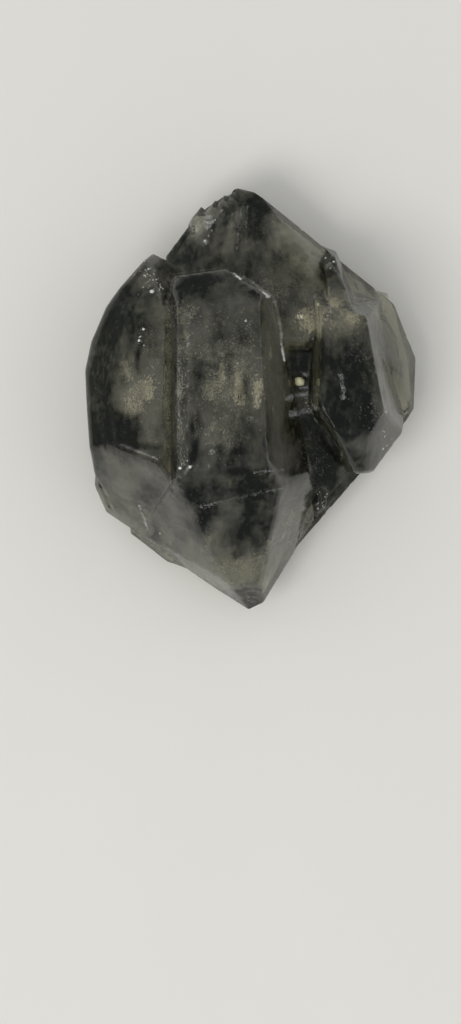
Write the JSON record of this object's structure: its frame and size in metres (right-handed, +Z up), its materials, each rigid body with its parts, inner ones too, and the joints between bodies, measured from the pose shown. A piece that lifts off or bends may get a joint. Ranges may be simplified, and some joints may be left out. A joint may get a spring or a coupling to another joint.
{
  "type": "smoky quartz crystal group",
  "caption": "Dark see-through smoky quartz: pointed crystals grown together side by side, with stepped ledges, a slim spike and a clear shelf, lying on a small flat face.",
  "frame": {"origin": "middle of the group's box, seen from above, on the surface that it rests on", "axes": "+Y along the crystals' long axes to the blunt far tip, +X across them to the clear shelf, +Z up"},
  "size_m": [0.0302, 0.0386, 0.0161],
  "materials": {
    "smoky_quartz": "Natural crystal faces, glossy with fine growth lines and a little dust; see-through smoky grey-brown to nearly black, with cloudy beige veils inside."
  },
  "bodies": {
    "root": {"smoky_quartz": "smoky_quartz"}
  },
  "joints": []
}
